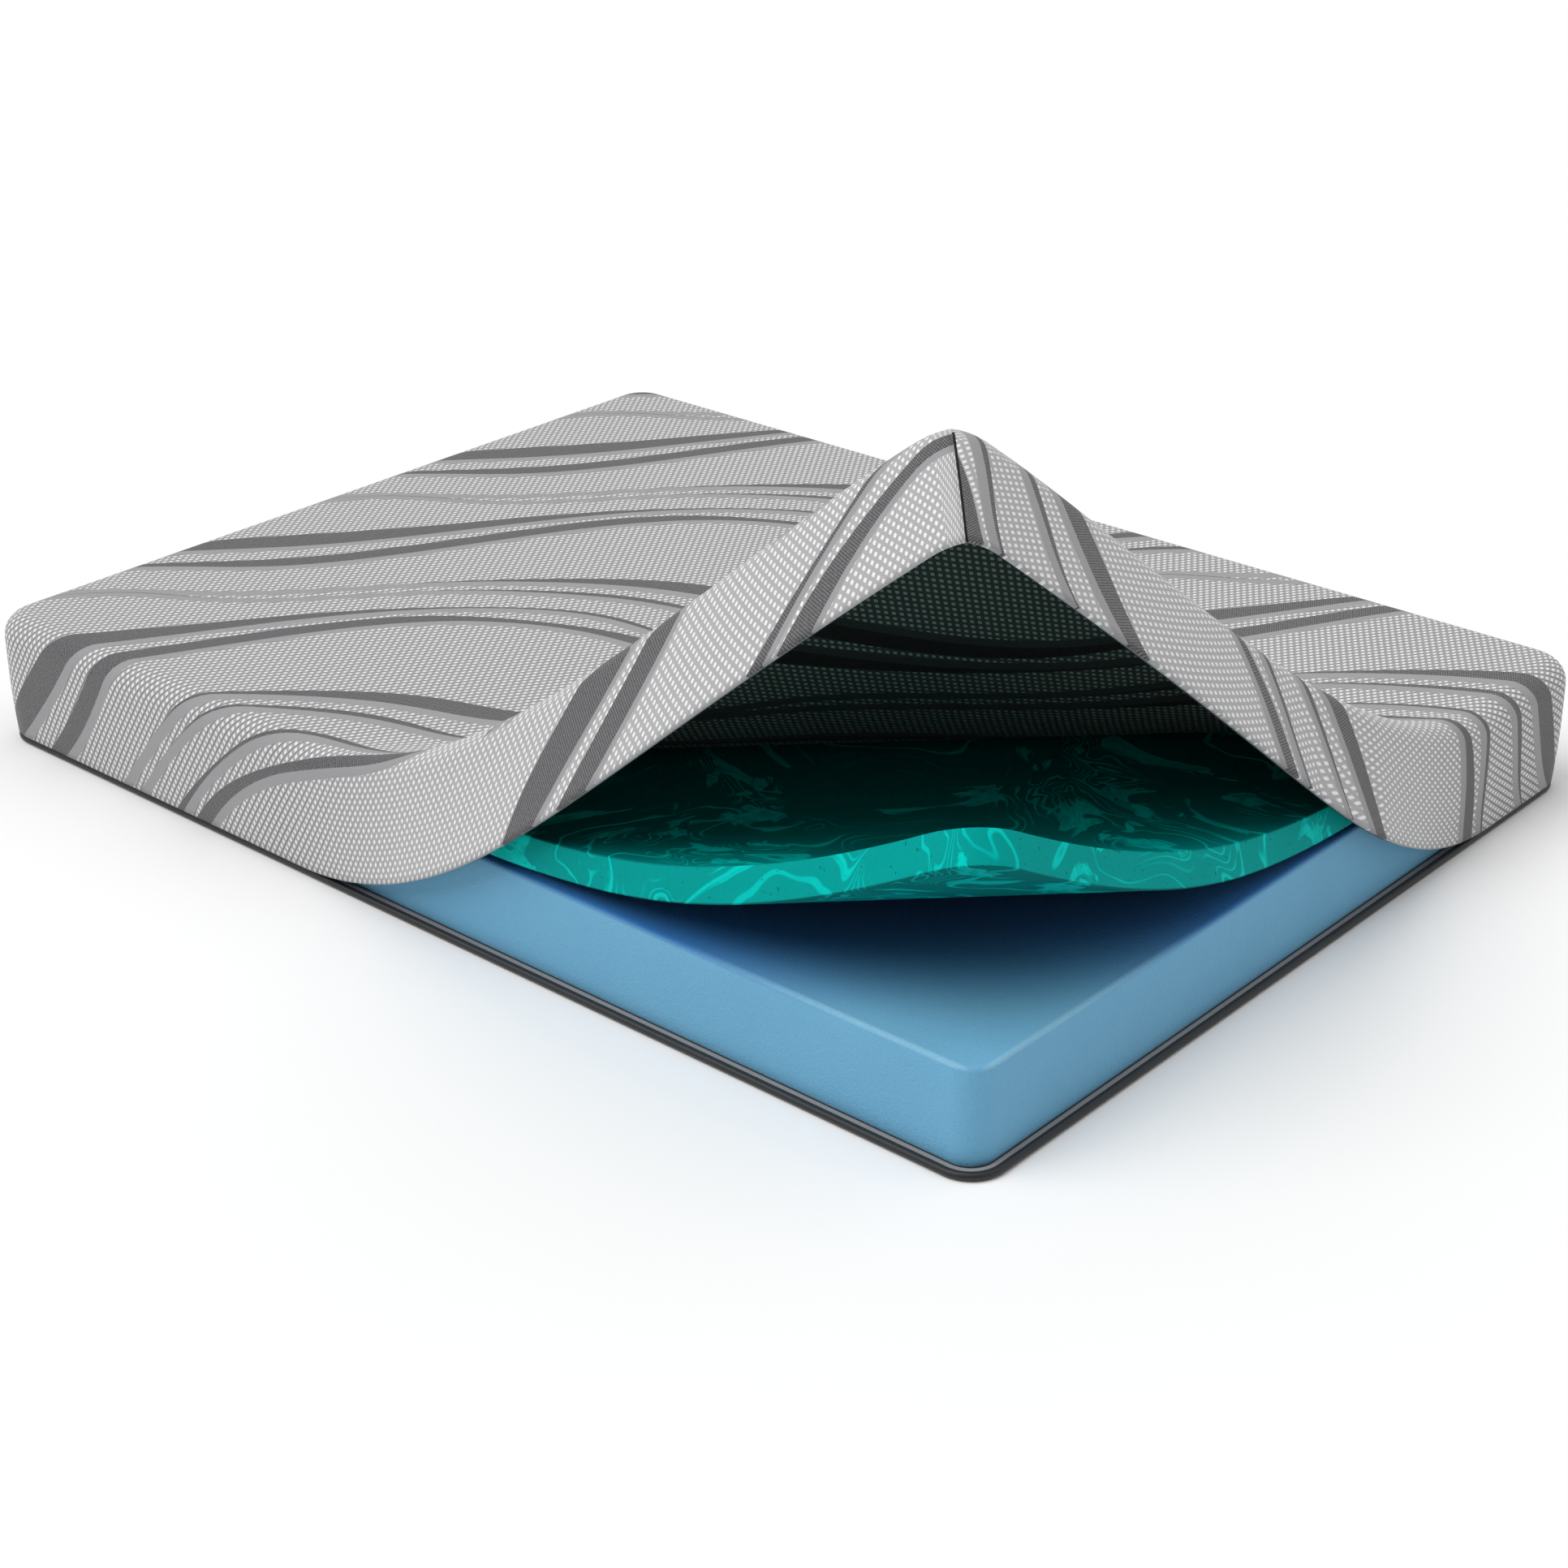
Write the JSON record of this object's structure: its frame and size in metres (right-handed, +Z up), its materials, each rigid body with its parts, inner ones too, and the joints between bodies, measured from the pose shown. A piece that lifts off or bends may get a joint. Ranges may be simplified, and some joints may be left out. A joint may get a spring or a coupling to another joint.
{
  "type": "memory foam mattress",
  "caption": "Queen memory foam mattress with its zip-off knit cover peeled back at a corner over a lifted gel layer, a foam core and dark piping.",
  "frame": {"origin": "middle of the underside, halfway along the width and the length of the base, on the surface that the mattress lies on", "axes": "+X across the width, +Y along the length, +Z up; the open corner is at -X, -Y"},
  "size_m": [1.5617, 2.0697, 0.8396],
  "materials": {
    "base_fabric": "woven non-slip panel with a fine grip print",
    "piping_fabric": "woven bias sleeve, slight sheen",
    "filler_cord": "soft twisted filler cord",
    "blue_foam": "open-cell foam, matt, with a fine skin",
    "gel_foam": "open-cell foam, matt, marbled with lighter gel",
    "cover_knit": "stretch knit with raised white stitches and flowing darker bands",
    "seam_binding": "woven binding tape",
    "zip_tape": "woven tape",
    "zip_coil": "nylon coil",
    "slider_metal": "black enamelled zinc"
  },
  "bodies": {
    "mattress": {"base_panel": "base_fabric", "piping_sleeve": "piping_fabric", "piping_cord": "filler_cord", "support_core": "blue_foam", "gel_layer": "gel_foam", "knit_cover": "cover_knit", "left_corner_seam": "seam_binding", "right_corner_seam": "seam_binding", "rear_corner_seam": "seam_binding", "lower_zip_tape": "zip_tape", "lower_zip_coil": "zip_coil", "upper_zip_tape": "zip_tape", "upper_zip_coil": "zip_coil"},
    "gel_corner_1": {"gel_corner_1": "gel_foam"},
    "gel_corner_2": {"gel_corner_2": "gel_foam"},
    "gel_corner_3": {"gel_corner_3": "gel_foam"},
    "gel_corner_4": {"gel_corner_4": "gel_foam"},
    "cover_corner": {"cover_corner_flap": "cover_knit", "front_corner_seam": "seam_binding", "flap_zip_tape": "zip_tape", "flap_zip_coil": "zip_coil"},
    "left_slider": {"left_zip_slider": "slider_metal"},
    "right_slider": {"right_zip_slider": "slider_metal"},
    "left_pull": {"left_pull_tab": "slider_metal"},
    "right_pull": {"right_pull_tab": "slider_metal"}
  },
  "joints": [
    {"name": "gel_bend_1", "type": "hinge", "parent": "mattress", "child": "gel_corner_1", "pos_m": [-0.23874, -0.49274, 0.2064], "axis": [-0.7071, 0.7071, 0], "range_deg": [-3.6, 0.9]},
    {"name": "gel_bend_2", "type": "hinge", "parent": "gel_corner_1", "child": "gel_corner_2", "pos_m": [-0.35165, -0.60566, 0.21645], "axis": [-0.7071, 0.7071, 0], "range_deg": [-9.5, 2.38]},
    {"name": "gel_bend_3", "type": "hinge", "parent": "gel_corner_2", "child": "gel_corner_3", "pos_m": [-0.46185, -0.71585, 0.25271], "axis": [-0.7071, 0.7071, 0], "range_deg": [-14.1, 3.52]},
    {"name": "gel_bend_4", "type": "hinge", "parent": "gel_corner_3", "child": "gel_corner_4", "pos_m": [-0.56247, -0.81647, 0.32585], "axis": [-0.7071, 0.7071, 0], "range_deg": [-11.7, 2.92]},
    {"name": "cover_lift", "type": "hinge", "parent": "mattress", "child": "cover_corner", "pos_m": [-0.1256, -0.3796, 0.223], "axis": [-0.7071, 0.7071, 0], "range_deg": [0, 60]},
    {"name": "left_slider_travel", "type": "slide", "parent": "mattress", "child": "left_slider", "axis": [0, 1, 0], "range_m": [0, 0.64]},
    {"name": "right_slider_travel", "type": "slide", "parent": "mattress", "child": "right_slider", "axis": [1, 0, 0], "range_m": [0, 0.13]},
    {"name": "left_pull_swing", "type": "hinge", "parent": "left_slider", "child": "left_pull", "pos_m": [-0.7622, 0.27579, 0.0135], "axis": [0, 0, 1], "range_deg": [0, 90]},
    {"name": "right_pull_swing", "type": "hinge", "parent": "right_slider", "child": "right_pull", "pos_m": [0.52979, -1.0162, 0.0135], "axis": [0, 0, -1], "range_deg": [0, 90]}
  ],
  "couplings": [
    {"joint": "gel_bend_2", "follows": "gel_bend_1", "ratio": 2.6389},
    {"joint": "gel_bend_3", "follows": "gel_bend_1", "ratio": 3.9167},
    {"joint": "gel_bend_4", "follows": "gel_bend_1", "ratio": 3.25}
  ]
}
